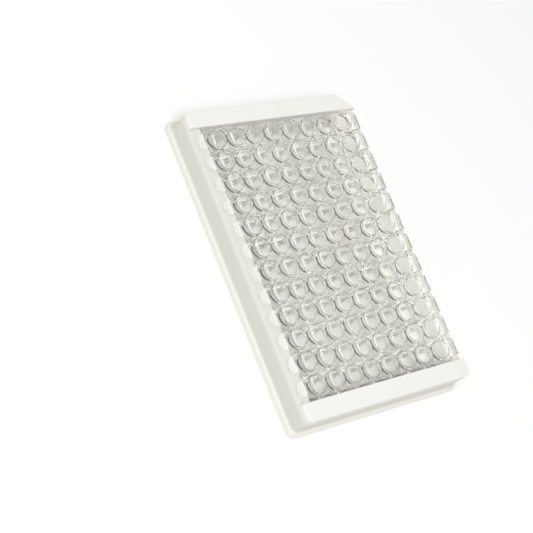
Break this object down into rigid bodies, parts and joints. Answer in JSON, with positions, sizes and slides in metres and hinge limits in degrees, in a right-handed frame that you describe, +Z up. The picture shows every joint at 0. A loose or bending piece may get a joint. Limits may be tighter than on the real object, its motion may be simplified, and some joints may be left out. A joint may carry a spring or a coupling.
{
  "type": "strip-well microplate",
  "caption": "Flat rectangular laboratory plate: an open white frame that holds removable clear strips of small round wells in a grid.",
  "frame": {"origin": "middle of the base, on the plane that the flange stands on", "axes": "+X along the long side from column 1 to column 12, +Y across the plate from row A to row H, +Z up out of the wells"},
  "size_m": [0.1278, 0.0854, 0.0143],
  "materials": {
    "frame_plastic": "fine satin moulded surface",
    "clear_strip": "polished and clear"
  },
  "bodies": {
    "root": {"frame": "frame_plastic", "strip_01": "clear_strip", "strip_02": "clear_strip", "strip_03": "clear_strip", "strip_04": "clear_strip", "strip_05": "clear_strip", "strip_06": "clear_strip", "strip_07": "clear_strip", "strip_08": "clear_strip", "strip_09": "clear_strip", "strip_10": "clear_strip", "strip_11": "clear_strip", "strip_12": "clear_strip"}
  },
  "joints": []
}
